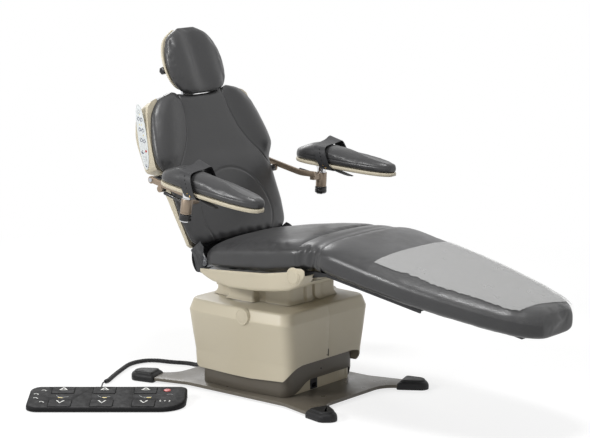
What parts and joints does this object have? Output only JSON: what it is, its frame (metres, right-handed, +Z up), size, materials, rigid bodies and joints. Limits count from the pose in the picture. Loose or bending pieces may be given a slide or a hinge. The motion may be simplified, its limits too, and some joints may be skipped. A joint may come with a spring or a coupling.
{
  "type": "dental surgery chair",
  "caption": "Powered surgery chair with square telescoping pedestal, reclining bolstered back, tapered leg rest, adjustable head rest, strapped arm boards and corded foot control.",
  "frame": {"origin": "on the floor, under the middle of the base plate", "axes": "+X towards the foot end, +Y towards the patient's left, +Z up"},
  "size_m": [1.8507, 1.3325, 1.3232],
  "materials": {
    "plate_paint": "satin grey brown enamel",
    "taupe_paint": "satin dark taupe enamel",
    "zinc_steel": "zinc plated",
    "beige_plastic": "smooth moulded beige",
    "black_plastic": "fine textured",
    "grey_plastic": "light grey membrane",
    "red_plastic": "glossy",
    "hide": "dark grey upholstery, soft sheen",
    "bronze_paint": "satin bronze enamel",
    "polished_steel": "polished",
    "clear_cover": "clear glossy film",
    "rubber": "matte"
  },
  "bodies": {
    "base": {"base_plate": "plate_paint", "levelling_feet": "zinc_steel", "foot_caps": "black_plastic", "lift_column_outer": "zinc_steel", "lift_motor": "black_plastic", "control_box": "grey_plastic", "chassis_box": "taupe_paint", "access_panel": "taupe_paint", "power_inlet": "black_plastic", "cord_gland": "rubber", "foot_cord": "rubber", "pedal_housing": "black_plastic"},
    "rocker": {"inlet_rocker": "black_plastic"},
    "riser": {"middle_skirt": "taupe_paint", "lift_column_middle": "zinc_steel"},
    "carriage": {"lift_column_inner": "zinc_steel", "carriage_frame": "zinc_steel", "shroud_left": "beige_plastic", "shroud_right": "beige_plastic", "shroud_caps": "beige_plastic", "neck_cover": "beige_plastic", "tilt_actuator": "black_plastic"},
    "seat": {"seat_frame": "zinc_steel", "seat_tub": "beige_plastic", "pivot_caps": "beige_plastic", "seat_cushion": "hide", "hinge_pins": "zinc_steel", "section_actuators": "black_plastic"},
    "back": {"back_frame": "zinc_steel", "back_shell": "beige_plastic", "touch_panel": "grey_plastic", "back_cushion": "hide"},
    "headstay": {"headrest_bar": "zinc_steel"},
    "head": {"head_shell": "beige_plastic", "head_cushion": "hide"},
    "head_clamp": {"head_knob": "black_plastic"},
    "legrest": {"leg_frame": "zinc_steel", "leg_cushion": "hide", "foot_cover": "clear_cover"},
    "right_arm": {"right_arm_bar": "bronze_paint"},
    "right_lock": {"right_arm_knob": "black_plastic"},
    "right_clamp": {"right_arm_lever": "black_plastic"},
    "right_board": {"right_arm_post": "polished_steel", "right_arm_tray": "beige_plastic", "right_arm_pad": "hide", "right_arm_strap": "hide"},
    "left_arm": {"left_arm_bar": "bronze_paint"},
    "left_lock": {"left_arm_knob": "black_plastic"},
    "left_clamp": {"left_arm_lever": "black_plastic"},
    "left_board": {"left_arm_post": "polished_steel", "left_arm_tray": "beige_plastic", "left_arm_pad": "hide", "left_arm_strap": "hide"},
    "back_up_key_body": {"back_up_key": "black_plastic"},
    "back_down_key_body": {"back_down_key": "black_plastic"},
    "lift_up_key_body": {"lift_up_key": "black_plastic"},
    "lift_down_key_body": {"lift_down_key": "black_plastic"},
    "tilt_up_key_body": {"tilt_up_key": "black_plastic"},
    "tilt_down_key_body": {"tilt_down_key": "black_plastic"},
    "stop_button_body": {"stop_button": "red_plastic"}
  },
  "joints": [
    {"name": "lift", "type": "slide", "parent": "base", "child": "carriage", "axis": [0, 0, 1], "range_m": [0, 0.34]},
    {"name": "riser_slide", "type": "slide", "parent": "base", "child": "riser", "axis": [0, 0, 1], "range_m": [0, 0.17]},
    {"name": "seat_tilt", "type": "hinge", "parent": "carriage", "child": "seat", "pos_m": [-0.02, 0, 0.428], "axis": [0, 1, 0], "range_deg": [-6, 9]},
    {"name": "back_recline", "type": "hinge", "parent": "seat", "child": "back", "pos_m": [-0.19, 0, 0.475], "axis": [0, -1, 0], "range_deg": [0, 65]},
    {"name": "leg_lift", "type": "hinge", "parent": "seat", "child": "legrest", "pos_m": [0.286, 0, 0.493], "axis": [0, -1, 0], "range_deg": [-15, 10]},
    {"name": "head_slide", "type": "slide", "parent": "back", "child": "headstay", "axis": [-0.3819, 0, 0.9242], "range_m": [0, 0.1]},
    {"name": "head_tilt", "type": "hinge", "parent": "headstay", "child": "head", "pos_m": [-0.46446, 0, 1.16443], "axis": [0, -1, 0], "range_deg": [0, 30]},
    {"name": "head_clamp_turn", "type": "hinge", "parent": "head", "child": "head_clamp", "pos_m": [-0.46446, -0.119, 1.16443], "axis": [0, 1, 0], "range_deg": [-90, 90]},
    {"name": "right_arm_pitch", "type": "hinge", "parent": "back", "child": "right_arm", "pos_m": [-0.335, -0.328, 0.787], "axis": [0, 1, 0], "range_deg": [0, 60]},
    {"name": "right_lock_turn", "type": "hinge", "parent": "right_arm", "child": "right_lock", "pos_m": [-0.293, -0.313, 0.757], "axis": [0, 1, 0], "range_deg": [-90, 90]},
    {"name": "right_clamp_turn", "type": "hinge", "parent": "right_arm", "child": "right_clamp", "pos_m": [-0.107, -0.39, 0.72], "axis": [0.1392, 0, 0.9903], "range_deg": [-20, 20]},
    {"name": "right_board_swivel", "type": "hinge", "parent": "right_arm", "child": "right_board", "pos_m": [-0.107, -0.39, 0.72], "axis": [-0.1392, 0, -0.9903], "range_deg": [-25, 25]},
    {"name": "left_arm_pitch", "type": "hinge", "parent": "back", "child": "left_arm", "pos_m": [-0.335, 0.328, 0.787], "axis": [0, 1, 0], "range_deg": [0, 60]},
    {"name": "left_lock_turn", "type": "hinge", "parent": "left_arm", "child": "left_lock", "pos_m": [-0.293, 0.313, 0.757], "axis": [0, 1, 0], "range_deg": [-90, 90]},
    {"name": "left_clamp_turn", "type": "hinge", "parent": "left_arm", "child": "left_clamp", "pos_m": [-0.107, 0.39, 0.72], "axis": [0.0523, 0, 0.9986], "range_deg": [-20, 20]},
    {"name": "left_board_swivel", "type": "hinge", "parent": "left_arm", "child": "left_board", "pos_m": [-0.107, 0.39, 0.72], "axis": [0.0523, 0, 0.9986], "range_deg": [-25, 25]},
    {"name": "rocker_turn", "type": "hinge", "parent": "base", "child": "rocker", "pos_m": [0.1915, -0.032, 0.053], "axis": [0, 1, 0], "range_deg": [-6, 6]},
    {"name": "back_up_key_press", "type": "slide", "parent": "base", "child": "back_up_key_body", "axis": [-0.0671, 0.0819, -0.9944], "range_m": [0, 0.003], "stiffness_N_per_m": 500, "springref_m": -0.001},
    {"name": "back_down_key_press", "type": "slide", "parent": "base", "child": "back_down_key_body", "axis": [-0.0671, 0.0819, -0.9944], "range_m": [0, 0.003], "stiffness_N_per_m": 500, "springref_m": -0.001},
    {"name": "lift_up_key_press", "type": "slide", "parent": "base", "child": "lift_up_key_body", "axis": [-0.0671, 0.0819, -0.9944], "range_m": [0, 0.003], "stiffness_N_per_m": 500, "springref_m": -0.001},
    {"name": "lift_down_key_press", "type": "slide", "parent": "base", "child": "lift_down_key_body", "axis": [-0.0671, 0.0819, -0.9944], "range_m": [0, 0.003], "stiffness_N_per_m": 500, "springref_m": -0.001},
    {"name": "tilt_up_key_press", "type": "slide", "parent": "base", "child": "tilt_up_key_body", "axis": [-0.0671, 0.0819, -0.9944], "range_m": [0, 0.003], "stiffness_N_per_m": 500, "springref_m": -0.001},
    {"name": "tilt_down_key_press", "type": "slide", "parent": "base", "child": "tilt_down_key_body", "axis": [-0.0671, 0.0819, -0.9944], "range_m": [0, 0.003], "stiffness_N_per_m": 500, "springref_m": -0.001},
    {"name": "stop_button_press", "type": "slide", "parent": "base", "child": "stop_button_body", "axis": [-0.0671, 0.0819, -0.9944], "range_m": [0, 0.003], "stiffness_N_per_m": 500, "springref_m": -0.001}
  ],
  "couplings": [
    {"joint": "riser_slide", "follows": "lift", "ratio": 0.5}
  ]
}
